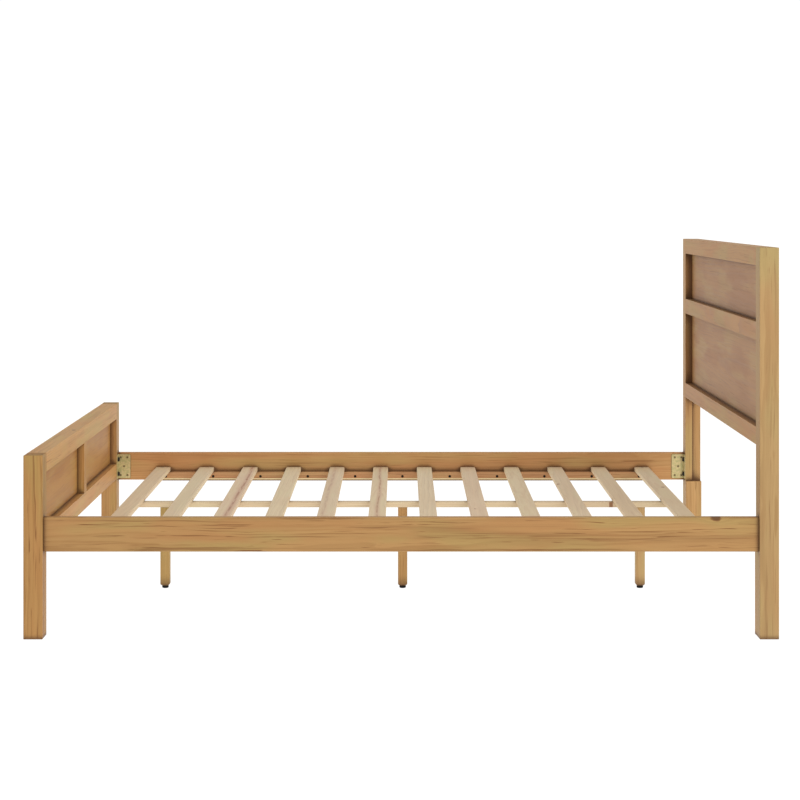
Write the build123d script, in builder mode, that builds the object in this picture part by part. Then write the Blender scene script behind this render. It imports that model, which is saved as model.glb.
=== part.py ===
"""Wooden bed frame for a queen mattress, in millimetres.

The origin is on the floor, under the middle of the frame. +X runs towards the headboard, +Y to the
left side as seen from the foot, and +Z up.
"""

import os

from build123d import *

# ---------------------------------------------------------------- Mattress and the room round it
mattress_length = 2032.0
mattress_width = 1524.0
mattress_end_gap = 5.0
mattress_side_gap = 8.0

# ---------------------------------------------------------------- Posts
post_width = 55.0  # along the bed
post_depth = 66.0  # across the bed
edge_radius = 2.0  # on the exposed edges of the frame members
joint_edge_ease = 0.5  # a small chamfer where two members meet flush
leg_block_thickness = 18.0

# ---------------------------------------------------------------- Headboard
headboard_height = 1116.0
headboard_rail_height = 52.0
headboard_upper_opening = 163.0
headboard_lower_opening = 250.0
headboard_panel_thickness = 12.0
headboard_panel_recess = 24.0
rebate_depth = 10.0
headboard_panel_fit = 0.5

# ---------------------------------------------------------------- Footboard
footboard_height = 524.0
footboard_rail_height = 54.0
footboard_bottom_rail_underside = 254.0
footboard_mullion_width = 48.0
footboard_panel_thickness = 9.0
groove_depth = 9.0
groove_side_fit = 0.2
groove_end_fit = 0.8

# ---------------------------------------------------------------- Side rails and ledgers
rail_height = 98.0
rail_thickness = 25.0
rail_underside = 248.0
rail_inset = 12.0  # from the outer face of the posts
rail_end_fit = 0.5
ledger_height = 31.0
ledger_depth = 25.0
ledger_edge_chamfer = 3.0
ledger_screw_count = 11
ledger_screw_end_inset = 37.8
ledger_counterbore_depth = 7.0
ledger_counterbore_radius = 4.8

# ---------------------------------------------------------------- Slats, centre beam and its legs
slat_count = 12
slat_width = 53.0
slat_thickness = 15.0
slat_run_foot_gap = 138.2  # from the footboard to the first slat
slat_run_head_gap = 128.2  # from the last slat to the headboard
slat_end_fit = 2.0
slat_edge_radius = 3.0
beam_width = 34.0
beam_height = 17.0
beam_edge_radius = 1.5
beam_screw_spacing = 24.0
centre_leg_size = 30.0
centre_leg_end_inset = 120.8  # from the ends of the beam to the outer legs
centre_leg_names = ("foot", "middle", "head")
centre_leg_bottom_chamfer = 5.0
centre_leg_edge_radius = 2.0

# ---------------------------------------------------------------- Levelling feet
leveller_pad_radius = 10.5
leveller_pad_height = 8.6
leveller_pad_top_radius = 8.5
leveller_pad_rim_height = 3.0
leveller_pad_edge_radius = 0.8
leveller_pad_gap = 0.4  # under the leg when the foot is screwed right in
leveller_socket_floor = 1.8
leveller_stud_length = 44.0
leveller_flange_step = 2.0  # the flange stands out from the stud by this
leveller_flange_height = 2.0
leveller_slot_width = 1.2
leveller_slot_depth = 1.6
leveller_hole_end_room = 3.0

# ---------------------------------------------------------------- Dowels
dowel_radius = 5.0
dowel_length = 60.0
dowel_spacing = 26.0
dowel_end_room = 1.5
dowel_end_chamfer = 1.0
mullion_dowel_length = 44.0
footboard_dowel_rise = 36.0  # above the underside of the footboard's bottom rail

# ---------------------------------------------------------------- Corner brackets
bracket_rail_margin = 6.0  # above and below the bracket
bracket_post_margin = 2.0  # inside the inner edge of the post
bracket_rail_width = 46.0
bracket_thickness = 2.5
bracket_bend_radius = 3.0
bracket_corner_radius = 5.0
bracket_screw_edge = 11.0

# ---------------------------------------------------------------- Metric hardware, thread size 8
thread_radius = 4.0
bolt_head_radius = 7.0
bolt_head_height = 5.0
bolt_head_edge_radius = 2.0
bolt_length = 25.0
bolt_spacing = 52.0
bolt_hole_clearance = 0.6
hex_socket_radius = 2.9
hex_socket_depth = 2.8
washer_rim = 3.9
washer_thickness = 1.6
insert_wall = 1.5
post_insert_length = 18.0
post_insert_hole_depth = 22.0
beam_insert_length = 12.0
beam_insert_hole_depth = 13.5
leveller_insert_length = 16.0
hanger_bolt_leg_length = 35.0

# ---------------------------------------------------------------- Wood screws
screw_shank_radius = 2.0
screw_head_radius = 4.0
screw_head_height = 2.2
screw_point_height = 3.0
screw_recess_width = 0.9
screw_recess_depth = 1.2
bracket_screw_length = 20.0
ledger_screw_length = 34.0
slat_screw_length = 32.0
beam_screw_length = 26.0

# ---------------------------------------------------------------- Clearances between hardware and wood
running_fit = 0.08
thread_fit = 0.05
seat_fit = 0.05

# ---------------------------------------------------------------- Places worked out from the sizes
inner_length = mattress_length + 2 * mattress_end_gap
inner_width = mattress_width + 2 * mattress_side_gap
head_face = inner_length / 2
foot_face = -inner_length / 2
head_back = head_face + post_width
foot_back = foot_face - post_width
rail_inner = inner_width / 2
rail_outer = rail_inner + rail_thickness
post_outer = rail_outer + rail_inset
post_inner = post_outer - post_depth
rail_top = rail_underside + rail_height
rail_middle = rail_underside + rail_height / 2

panel_face = head_face + headboard_panel_recess
rebate_face = post_inner + rebate_depth
headboard_top_rail_underside = headboard_height - headboard_rail_height
headboard_middle_rail_top = headboard_top_rail_underside - headboard_upper_opening
headboard_middle_rail_underside = headboard_middle_rail_top - headboard_rail_height
headboard_bottom_rail_top = headboard_middle_rail_underside - headboard_lower_opening
headboard_rail_undersides = {
    "bottom": headboard_bottom_rail_top - headboard_rail_height,
    "middle": headboard_middle_rail_underside,
    "top": headboard_top_rail_underside,
}
headboard_openings = {
    "lower": (headboard_bottom_rail_top, headboard_middle_rail_underside),
    "upper": (headboard_middle_rail_top, headboard_top_rail_underside),
}

footboard_middle = (foot_face + foot_back) / 2
footboard_opening_bottom = footboard_bottom_rail_underside + footboard_rail_height
footboard_top_rail_underside = footboard_height - footboard_rail_height
groove_width = footboard_panel_thickness + 2 * groove_side_fit
mullion_side = footboard_mullion_width / 2

ledger_top = rail_underside + ledger_height
ledger_inner = rail_inner - ledger_depth
ledger_middle = rail_underside + ledger_height / 2
slat_top = ledger_top + slat_thickness
slat_run = (foot_face + slat_run_foot_gap, head_face - slat_run_head_gap)
beam_underside = ledger_top - beam_height
centre_leg_bottom = leveller_pad_height + leveller_pad_gap

bracket_height = rail_height - 2 * bracket_rail_margin
bracket_post_width = rail_inner - post_inner - bracket_post_margin
bolt_across = rail_inner - bracket_post_width / 2
bolt_heights = [rail_middle - bolt_spacing / 2, rail_middle + bolt_spacing / 2]
screw_seat_radius = screw_head_radius + seat_fit
screw_hole_radius = screw_shank_radius + thread_fit
dowel_hole_radius = dowel_radius + seat_fit
bolt_hole_radius = thread_radius + bolt_hole_clearance
washer_radius = bolt_hole_radius + washer_rim
insert_radius = thread_radius + insert_wall
leveller_flange_radius = thread_radius + leveller_flange_step
stud_bore_radius = thread_radius + running_fit

sides = {"left": 1, "right": -1}
ends = {"head": 1, "foot": -1}
end_faces = {"head": head_face, "foot": foot_face}



def spread(span, inset, count):
    """Evenly spaced places along a span, the first and last at the inset from its ends."""
    low, high = span[0] + inset, span[1] - inset
    return [low + (high - low) * i / (count - 1) for i in range(count)]


slat_places = spread(slat_run, slat_width / 2, slat_count)
centre_leg_places = spread(slat_run, centre_leg_end_inset, len(centre_leg_names))
ledger_screw_x = spread(slat_run, ledger_screw_end_inset, ledger_screw_count)


# ---------------------------------------------------------------- Shared shapes
def fill(x_span, y_span, z_span, mode=Mode.ADD):
    """Add or cut the rectangular block between three pairs of limits."""
    spans = [sorted(span) for span in (x_span, y_span, z_span)]
    with Locations(Vector(*[sum(span) / 2 for span in spans])):
        Box(*[high - low for low, high in spans], mode=mode)


def post_blank(x_span, side, height):
    """Add a square post with its outer and end edges rounded and its inner edges eased."""
    fill(x_span, mirrored((post_inner, post_outer), side), (0, height))
    uprights = edges().filter_by(Axis.Z).group_by(Axis.Y)
    outer = -1 if side > 0 else 0
    inner = -1 - outer
    end_edges = edges().filter_by(Axis.Y) + edges().filter_by(Axis.X).group_by(Axis.Y)[outer]
    fillet([*uprights[outer], *end_edges], radius=edge_radius)
    chamfer(edges().filter_by(Axis.Z).group_by(Axis.Y)[inner], length=joint_edge_ease)


def mirrored(span, side):
    """A span across the bed, moved to the given side."""
    return [side * limit for limit in span]


def drill(places, radius, depth):
    """Cut a plain hole into each plane's surface, against its normal."""
    with Locations(*places):
        Cylinder(radius, depth, align=(Align.CENTER, Align.CENTER, Align.MAX), mode=Mode.SUBTRACT)


def countersink(places):
    """Cut the seat for a countersunk screw head into each plane's surface."""
    with Locations(*places):
        Cone(
            screw_hole_radius,
            screw_seat_radius,
            screw_head_height,
            align=(Align.CENTER, Align.CENTER, Align.MAX),
            mode=Mode.SUBTRACT,
        )


def facing(direction, points):
    """Planes at the given points whose normal is the given direction."""
    return [Plane(origin=point, z_dir=direction) for point in points]


def wood_screw(length):
    """A countersunk wood screw with a cross recess, head up at the origin and point down."""
    with BuildPart() as screw:
        with BuildSketch(Plane.XZ):
            with BuildLine():
                Polyline(
                    (0, 0),
                    (screw_head_radius, 0),
                    (screw_shank_radius, -screw_head_height),
                    (screw_shank_radius, screw_point_height - length),
                    (0, -length),
                    close=True,
                )
            make_face()
        revolve(axis=Axis.Z)
        for turn in (0, 90):
            with Locations(Location((0, 0, 0), (0, 0, turn))):
                Box(
                    screw_head_radius,
                    screw_recess_width,
                    2 * screw_recess_depth,
                    mode=Mode.SUBTRACT,
                )
    return screw.part


def dowel(length):
    """A round dowel with chamfered ends, centred on the origin along Z."""
    with BuildPart() as pin:
        Cylinder(dowel_radius, length)
        chamfer(pin.edges().filter_by(GeomType.CIRCLE), length=dowel_end_chamfer)
    return pin.part


def threaded_insert(length):
    """A threaded insert, flush with the surface at the origin and running down."""
    with BuildPart() as insert:
        Cylinder(insert_radius, length, align=(Align.CENTER, Align.CENTER, Align.MAX))
        Cylinder(
            stud_bore_radius,
            length,
            align=(Align.CENTER, Align.CENTER, Align.MAX),
            mode=Mode.SUBTRACT,
        )
    return insert.part


def group(piece, places):
    """One node that holds a separate copy of the piece at each place."""
    with BuildPart() as copies:
        with Locations(*places):
            add(piece)
    return copies


def save(name, piece):
    """Label the finished piece and write it to its own file."""
    piece.part.label = name
    export_step(piece.part, f"parts/{name}.step")


os.makedirs("parts", exist_ok=True)

# ---------------------------------------------------------------- Places of the fasteners
headboard_dowel_across = head_face + headboard_panel_recess / 2
headboard_dowel_heights = [
    underside + headboard_rail_height / 2 + step
    for underside in headboard_rail_undersides.values()
    for step in (-dowel_spacing / 2, dowel_spacing / 2)
]
footboard_dowel_heights = {
    "bottom": footboard_bottom_rail_underside + footboard_dowel_rise,
    "top": footboard_top_rail_underside + footboard_rail_height / 2,
}
footboard_dowel_across = [footboard_middle - dowel_spacing / 2, footboard_middle + dowel_spacing / 2]

bracket_screw_x = [bracket_screw_edge, bracket_rail_width - bracket_screw_edge]
bracket_screw_z = [
    rail_middle - bracket_height / 2 + bracket_screw_edge,
    rail_middle + bracket_height / 2 - bracket_screw_edge,
]
bracket_screw_spots = [(x, z) for x in bracket_screw_x for z in bracket_screw_z]
bracket_screw_spots.append((bracket_rail_width / 2, rail_middle))

beam_screw_x = [x + step for x in slat_places for step in (-beam_screw_spacing / 2, beam_screw_spacing / 2)]
slat_screw_across = rail_inner - ledger_depth / 2


def bracket_screw_planes(end, side, across):
    """Planes of one bracket's wood screws, at a distance across the bed, facing its middle."""
    points = [(end_faces[end] - ends[end] * x, side * across, z) for x, z in bracket_screw_spots]
    return facing((0, -side, 0), points)


def bed_bolt_planes(end, side, along):
    """Planes of one corner's bed bolts, at a distance along the bed, facing its middle."""
    points = [(along, side * bolt_across, z) for z in bolt_heights]
    return facing((-ends[end], 0, 0), points)


def ledger_screw_planes(side, across):
    """Planes of one ledger's screws, at a distance across the bed, facing its middle."""
    return facing((0, -side, 0), [(x, side * across, ledger_middle) for x in ledger_screw_x])


def post_dowel_planes(side, spots):
    """Planes of the dowel holes in a post's inner face, at the given places along and up."""
    return facing((0, -side, 0), [(x, side * post_inner, z) for x, z in spots])


headboard_dowel_spots = [(headboard_dowel_across, z) for z in headboard_dowel_heights]
footboard_dowel_spots = [(x, z) for x in footboard_dowel_across for z in footboard_dowel_heights.values()]

# ---------------------------------------------------------------- Headboard
for side_name, side in sides.items():
    with BuildPart() as headboard_post:
        post_blank((head_face, head_back), side, headboard_height)
        fill(
            (panel_face, head_back),
            mirrored((post_inner, rebate_face), side),
            (rail_underside, headboard_height),
            Mode.SUBTRACT,
        )
        drill(
            post_dowel_planes(side, headboard_dowel_spots),
            dowel_hole_radius,
            dowel_length / 2 + dowel_end_room,
        )
        drill(bed_bolt_planes("head", side, head_face), insert_radius + seat_fit, post_insert_hole_depth)
    save(f"headboard_post_{side_name}", headboard_post)

    with BuildPart() as leg_block:
        fill(
            (head_face, head_back),
            mirrored((post_inner - leg_block_thickness, post_inner), side),
            (0, rail_underside),
        )
        uprights = leg_block.edges().filter_by(Axis.Z).group_by(Axis.Y)
        fillet(uprights[0 if side > 0 else -1], radius=edge_radius)
    save(f"headboard_leg_block_{side_name}", leg_block)

for rail_name, underside in headboard_rail_undersides.items():
    top = underside + headboard_rail_height
    with BuildPart() as headboard_rail:
        fill((head_face, panel_face), (-post_inner, post_inner), (underside, top))
        fill(
            (panel_face, head_back),
            (-rebate_face, rebate_face),
            (
                underside if rail_name == "bottom" else underside + rebate_depth,
                top if rail_name == "top" else top - rebate_depth,
            ),
        )
        exposed_height = {"bottom": 0, "top": -1}.get(rail_name)
        if exposed_height is not None:
            long_edges = headboard_rail.edges().filter_by(Axis.Y).group_by(Axis.Z)[exposed_height]
            front_and_back = long_edges.group_by(Axis.X)
            fillet([*front_and_back[0], *front_and_back[-1]], radius=edge_radius)
        end_edges = headboard_rail.edges().filter_by(Axis.Z).group_by(Axis.X)
        chamfer([*end_edges[0], *end_edges[-1]], length=joint_edge_ease)
        for side in sides.values():
            spots = [(x, z) for x, z in headboard_dowel_spots if underside < z < top]
            drill(
                facing((0, side, 0), [(x, side * post_inner, z) for x, z in spots]),
                dowel_hole_radius,
                dowel_length / 2 + dowel_end_room,
            )
    save(f"headboard_{rail_name}_rail", headboard_rail)

panel_lap = rebate_depth - headboard_panel_fit
for panel_name, (bottom, top) in headboard_openings.items():
    with BuildPart() as headboard_panel:
        fill(
            (panel_face, panel_face + headboard_panel_thickness),
            (-post_inner - panel_lap, post_inner + panel_lap),
            (bottom - panel_lap, top + panel_lap),
        )
    save(f"headboard_{panel_name}_panel", headboard_panel)

headboard_dowels = group(
    dowel(dowel_length),
    [plane for side in sides.values() for plane in post_dowel_planes(side, headboard_dowel_spots)],
)
save("headboard_dowels", headboard_dowels)

# ---------------------------------------------------------------- Footboard
groove_x = (footboard_middle - groove_width / 2, footboard_middle + groove_width / 2)
groove_z = (footboard_opening_bottom - groove_depth, footboard_top_rail_underside + groove_depth)
for side_name, side in sides.items():
    with BuildPart() as footboard_post:
        post_blank((foot_back, foot_face), side, footboard_height)
        fill(groove_x, mirrored((post_inner, post_inner + groove_depth), side), groove_z, Mode.SUBTRACT)
        drill(
            post_dowel_planes(side, footboard_dowel_spots),
            dowel_hole_radius,
            dowel_length / 2 + dowel_end_room,
        )
        drill(bed_bolt_planes("foot", side, foot_face), insert_radius + seat_fit, post_insert_hole_depth)
    save(f"footboard_post_{side_name}", footboard_post)

mullion_dowel_depth = mullion_dowel_length / 2 + dowel_end_room
footboard_rails = {
    "bottom": (footboard_bottom_rail_underside, footboard_opening_bottom, 1),
    "top": (footboard_height, footboard_top_rail_underside, -1),
}
for rail_name, (outer_edge, inner_edge, inward) in footboard_rails.items():
    with BuildPart() as footboard_rail:
        fill((foot_back, foot_face), (-post_inner, post_inner), (outer_edge, inner_edge))
        long_edges = footboard_rail.edges().filter_by(Axis.Y).group_by(Axis.Z)
        fillet(long_edges[0 if inward > 0 else -1], radius=edge_radius)
        chamfer(footboard_rail.edges().filter_by(Axis.Z), length=joint_edge_ease)
        for side in sides.values():
            fill(
                groove_x,
                mirrored((mullion_side - groove_depth, post_inner), side),
                (inner_edge - inward * groove_depth, inner_edge),
                Mode.SUBTRACT,
            )
            drill(
                facing(
                    (0, side, 0),
                    [
                        (x, side * post_inner, footboard_dowel_heights[rail_name])
                        for x in footboard_dowel_across
                    ],
                ),
                dowel_hole_radius,
                dowel_length / 2 + dowel_end_room,
            )
        drill(
            facing((0, 0, inward), [(x, 0, inner_edge) for x in footboard_dowel_across]),
            dowel_hole_radius,
            mullion_dowel_depth,
        )
    save(f"footboard_{rail_name}_rail", footboard_rail)

with BuildPart() as footboard_mullion:
    fill(
        (foot_back, foot_face),
        (-mullion_side, mullion_side),
        (footboard_opening_bottom, footboard_top_rail_underside),
    )
    chamfer(footboard_mullion.edges().filter_by(Axis.Y), length=joint_edge_ease)
    for side in sides.values():
        fill(
            groove_x,
            mirrored((mullion_side - groove_depth, mullion_side), side),
            (footboard_opening_bottom, footboard_top_rail_underside),
            Mode.SUBTRACT,
        )
    for outward, height in ((-1, footboard_opening_bottom), (1, footboard_top_rail_underside)):
        drill(
            facing((0, 0, outward), [(x, 0, height) for x in footboard_dowel_across]),
            dowel_hole_radius,
            mullion_dowel_depth,
        )
save("footboard_mullion", footboard_mullion)

groove_lap = groove_depth - groove_end_fit
for side_name, side in sides.items():
    with BuildPart() as footboard_panel:
        fill(
            (
                footboard_middle - footboard_panel_thickness / 2,
                footboard_middle + footboard_panel_thickness / 2,
            ),
            mirrored((mullion_side - groove_lap, post_inner + groove_lap), side),
            (footboard_opening_bottom - groove_lap, footboard_top_rail_underside + groove_lap),
        )
    save(f"footboard_panel_{side_name}", footboard_panel)

mullion_dowel_planes = facing(
    (0, 0, 1),
    [
        (x, 0, height)
        for x in footboard_dowel_across
        for height in (footboard_opening_bottom, footboard_top_rail_underside)
    ],
)
with BuildPart() as footboard_dowels:
    with Locations(*[p for side in sides.values() for p in post_dowel_planes(side, footboard_dowel_spots)]):
        add(dowel(dowel_length))
    with Locations(*mullion_dowel_planes):
        add(dowel(mullion_dowel_length))
save("footboard_dowels", footboard_dowels)

# ---------------------------------------------------------------- Side rails and ledgers
rail_span = (foot_face + rail_end_fit, head_face - rail_end_fit)
ledger_screw_grip = ledger_depth - ledger_counterbore_depth
ledger_screw_in_rail = ledger_screw_length - ledger_screw_grip + thread_fit
bracket_screw_in_rail = bracket_screw_length - bracket_thickness + thread_fit
for side_name, side in sides.items():
    with BuildPart() as side_rail:
        fill(rail_span, mirrored((rail_inner, rail_outer), side), (rail_underside, rail_top))
        fillet(side_rail.edges().filter_by(Axis.X), radius=edge_radius)
        drill(ledger_screw_planes(side, rail_inner), screw_hole_radius, ledger_screw_in_rail)
        for end in ends:
            drill(
                bracket_screw_planes(end, side, rail_inner),
                screw_hole_radius,
                bracket_screw_in_rail,
            )
    save(f"side_rail_{side_name}", side_rail)

    slat_screw_planes = facing(
        (0, 0, 1),
        [(x, side * slat_screw_across, ledger_top) for x in (slat_places[0], slat_places[-1])],
    )
    with BuildPart() as ledger:
        fill(slat_run, mirrored((ledger_inner, rail_inner), side), (rail_underside, ledger_top))
        low_edges = ledger.edges().filter_by(Axis.X).group_by(Axis.Z)[0].sort_by(Axis.Y)
        chamfer(low_edges[0 if side > 0 else -1], length=ledger_edge_chamfer)
        drill(
            ledger_screw_planes(side, ledger_inner),
            ledger_counterbore_radius,
            ledger_counterbore_depth,
        )
        seat_planes = ledger_screw_planes(side, ledger_inner + ledger_counterbore_depth)
        drill(seat_planes, screw_hole_radius, ledger_screw_grip)
        countersink(seat_planes)
        drill(slat_screw_planes, screw_hole_radius, slat_screw_length - slat_thickness + thread_fit)
    save(f"ledger_{side_name}", ledger)

ledger_screws = group(
    wood_screw(ledger_screw_length),
    [
        plane
        for side in sides.values()
        for plane in ledger_screw_planes(side, ledger_inner + ledger_counterbore_depth)
    ],
)
save("ledger_screws", ledger_screws)

# ---------------------------------------------------------------- Corner brackets and their hardware
for end, toward_end in ends.items():
    for side_name, side in sides.items():
        corner = (end_faces[end], side * rail_inner)
        rail_edge = corner[0] - toward_end * bracket_rail_width
        rail_face = corner[1] - side * bracket_thickness
        post_edge = corner[1] - side * bracket_post_width
        post_face = corner[0] - toward_end * bracket_thickness
        with BuildPart() as bracket:
            with BuildSketch(Plane.XY.offset(rail_middle - bracket_height / 2)) as profile:
                with BuildLine():
                    Polyline(
                        corner,
                        (rail_edge, corner[1]),
                        (rail_edge, rail_face),
                        (post_face, rail_face),
                        (post_face, post_edge),
                        (corner[0], post_edge),
                        close=True,
                    )
                make_face()
                bend = profile.vertices().sort_by_distance((*corner, rail_middle))[0]
                fillet(bend, radius=bracket_bend_radius)
            extrude(amount=bracket_height)
            rail_corners = bracket.edges().filter_by(Axis.Y).sort_by(Axis.X)
            post_corners = bracket.edges().filter_by(Axis.X).sort_by(Axis.Y)
            plate_corners = rail_corners[:2] if toward_end > 0 else rail_corners[-2:]
            flange_corners = post_corners[:2] if side > 0 else post_corners[-2:]
            fillet([*plate_corners, *flange_corners], radius=bracket_corner_radius)
            screw_planes = bracket_screw_planes(end, side, rail_inner - bracket_thickness)
            drill(screw_planes, screw_hole_radius, bracket_thickness)
            countersink(screw_planes)
            drill(bed_bolt_planes(end, side, post_face), bolt_hole_radius, bracket_thickness)
        save(f"corner_bracket_{end}_{side_name}", bracket)

corners = [(end, side) for end in ends for side in sides.values()]
bracket_screws = group(
    wood_screw(bracket_screw_length),
    [
        plane
        for end, side in corners
        for plane in bracket_screw_planes(end, side, rail_inner - bracket_thickness)
    ],
)
save("bracket_screws", bracket_screws)

with BuildPart() as bed_bolt:
    Cylinder(
        bolt_head_radius,
        bolt_head_height,
        align=(Align.CENTER, Align.CENTER, Align.MIN),
    )
    crown = bed_bolt.edges().filter_by(GeomType.CIRCLE).sort_by(Axis.Z)[-1]
    fillet(crown, radius=bolt_head_edge_radius)
    Cylinder(thread_radius, bolt_length, align=(Align.CENTER, Align.CENTER, Align.MAX))
    with BuildSketch(Plane.XY.offset(bolt_head_height)):
        RegularPolygon(hex_socket_radius, 6)
    extrude(amount=-hex_socket_depth, mode=Mode.SUBTRACT)

with BuildPart() as bolt_washer:
    Cylinder(washer_radius, washer_thickness, align=(Align.CENTER, Align.CENTER, Align.MIN))
    Cylinder(bolt_hole_radius, 2 * washer_thickness, mode=Mode.SUBTRACT)


def corner_places(distance):
    """Planes of all the bed bolts, at a distance inside the inner faces of the posts."""
    return [
        plane
        for end, side in corners
        for plane in bed_bolt_planes(end, side, end_faces[end] - ends[end] * distance)
    ]


save("bed_bolts", group(bed_bolt.part, corner_places(bracket_thickness + washer_thickness)))
save("bed_bolt_washers", group(bolt_washer.part, corner_places(bracket_thickness)))
save("post_inserts", group(threaded_insert(post_insert_length), corner_places(0)))

# ---------------------------------------------------------------- Slats
slat_span = (slat_end_fit - rail_inner, rail_inner - slat_end_fit)
end_slats = (slat_places[0], slat_places[-1])
for number, x in enumerate(slat_places, start=1):
    with BuildPart() as slat:
        fill((x - slat_width / 2, x + slat_width / 2), slat_span, (ledger_top, slat_top))
        fillet(slat.edges().filter_by(Axis.Y), radius=slat_edge_radius)
        drill(
            facing(
                (0, 0, -1),
                [(x + step, 0, ledger_top) for step in (-beam_screw_spacing / 2, beam_screw_spacing / 2)],
            ),
            screw_hole_radius,
            beam_screw_length - beam_height + thread_fit,
        )
        if x in end_slats:
            top_planes = facing(
                (0, 0, 1), [(x, side * slat_screw_across, slat_top) for side in sides.values()]
            )
            drill(top_planes, screw_hole_radius, slat_thickness)
            countersink(top_planes)
    save(f"slat_{number:02d}", slat)

slat_screws = group(
    wood_screw(slat_screw_length),
    facing(
        (0, 0, 1),
        [(x, side * slat_screw_across, slat_top) for x in end_slats for side in sides.values()],
    ),
)
save("slat_screws", slat_screws)

# ---------------------------------------------------------------- Centre beam and its screws
beam_screw_planes = facing((0, 0, -1), [(x, 0, beam_underside) for x in beam_screw_x])
beam_insert_planes = facing((0, 0, -1), [(x, 0, beam_underside) for x in centre_leg_places])
with BuildPart() as centre_beam:
    fill(slat_run, (-beam_width / 2, beam_width / 2), (beam_underside, ledger_top))
    fillet(centre_beam.edges().filter_by(Axis.X), radius=beam_edge_radius)
    drill(beam_screw_planes, screw_hole_radius, beam_height)
    countersink(beam_screw_planes)
    drill(beam_insert_planes, insert_radius + seat_fit, beam_insert_hole_depth)
save("centre_beam", centre_beam)
save("beam_screws", group(wood_screw(beam_screw_length), beam_screw_planes))
save("beam_inserts", group(threaded_insert(beam_insert_length), beam_insert_planes))

# ---------------------------------------------------------------- Centre legs
leg_half = centre_leg_size / 2
leveller_hole_depth = (
    leveller_stud_length + leveller_socket_floor + leveller_hole_end_room - centre_leg_bottom
)
for name, x in zip(centre_leg_names, centre_leg_places):
    with BuildPart() as centre_leg:
        fill((x - leg_half, x + leg_half), (-leg_half, leg_half), (centre_leg_bottom, beam_underside))
        chamfer(centre_leg.faces().sort_by(Axis.Z)[0].edges(), length=centre_leg_bottom_chamfer)
        fillet(centre_leg.edges().filter_by(Axis.Z), radius=centre_leg_edge_radius)
        drill(
            [Plane(origin=(x, 0, beam_underside))],
            thread_radius + thread_fit,
            hanger_bolt_leg_length + thread_fit,
        )
        foot_plane = facing((0, 0, -1), [(x, 0, centre_leg_bottom)])
        drill(foot_plane, insert_radius + seat_fit, leveller_insert_length)
        drill(foot_plane, stud_bore_radius, leveller_hole_depth)
    save(f"centre_leg_{name}", centre_leg)

with BuildPart() as hanger_bolt:
    Cylinder(thread_radius, hanger_bolt_leg_length, align=(Align.CENTER, Align.CENTER, Align.MAX))
    Cylinder(thread_radius, beam_insert_length, align=(Align.CENTER, Align.CENTER, Align.MIN))
leg_top_planes = facing((0, 0, 1), [(x, 0, beam_underside) for x in centre_leg_places])
save("leg_hanger_bolts", group(hanger_bolt.part, leg_top_planes))

leg_foot_planes = facing((0, 0, -1), [(x, 0, centre_leg_bottom) for x in centre_leg_places])
save("leveller_inserts", group(threaded_insert(leveller_insert_length), leg_foot_planes))

# ---------------------------------------------------------------- Levelling feet
flange_top = leveller_socket_floor + leveller_flange_height
socket_top = flange_top + 2 * running_fit
socket_floor = leveller_socket_floor - running_fit
socket_radius = leveller_flange_radius + running_fit
for name, x in zip(centre_leg_names, centre_leg_places):
    with BuildPart() as leveller_pad:
        with BuildSketch(Plane(origin=(x, 0, 0), x_dir=(1, 0, 0), z_dir=(0, -1, 0))):
            with BuildLine():
                Polyline(
                    (0, 0),
                    (leveller_pad_radius, 0),
                    (leveller_pad_radius, leveller_pad_rim_height),
                    (leveller_pad_top_radius, leveller_pad_height),
                    (stud_bore_radius, leveller_pad_height),
                    (stud_bore_radius, socket_top),
                    (socket_radius, socket_top),
                    (socket_radius, socket_floor),
                    (0, socket_floor),
                    close=True,
                )
            make_face()
        revolve(axis=Axis((x, 0, 0), (0, 0, 1)))
        rim = leveller_pad.edges().filter_by(GeomType.CIRCLE).group_by(SortBy.RADIUS)[-1]
        fillet(rim, radius=leveller_pad_edge_radius)
    save(f"leveller_pad_{name}", leveller_pad)

    with BuildPart() as leveller_stud:
        with Locations((x, 0, leveller_socket_floor)):
            Cylinder(thread_radius, leveller_stud_length, align=(Align.CENTER, Align.CENTER, Align.MIN))
            Cylinder(
                leveller_flange_radius,
                leveller_flange_height,
                align=(Align.CENTER, Align.CENTER, Align.MIN),
            )
        with Locations((x, 0, leveller_socket_floor + leveller_stud_length)):
            Box(
                2 * thread_radius,
                leveller_slot_width,
                2 * leveller_slot_depth,
                mode=Mode.SUBTRACT,
            )
    save(f"leveller_stud_{name}", leveller_stud)
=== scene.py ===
"""Finishes, levelling feet, floor, light and camera for a slatted wooden bed frame.

The timber, the hardware and the feet each have their own classes. Lengths are in metres. +X runs
towards the headboard, +Y to the left side as seen from the foot, and +Z up.
"""

import logging
import math
import random
from collections.abc import Callable, Mapping, Sequence
from dataclasses import dataclass, field, replace
from enum import Enum

import bmesh
import bpy
from mathutils import Matrix, Vector


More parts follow.
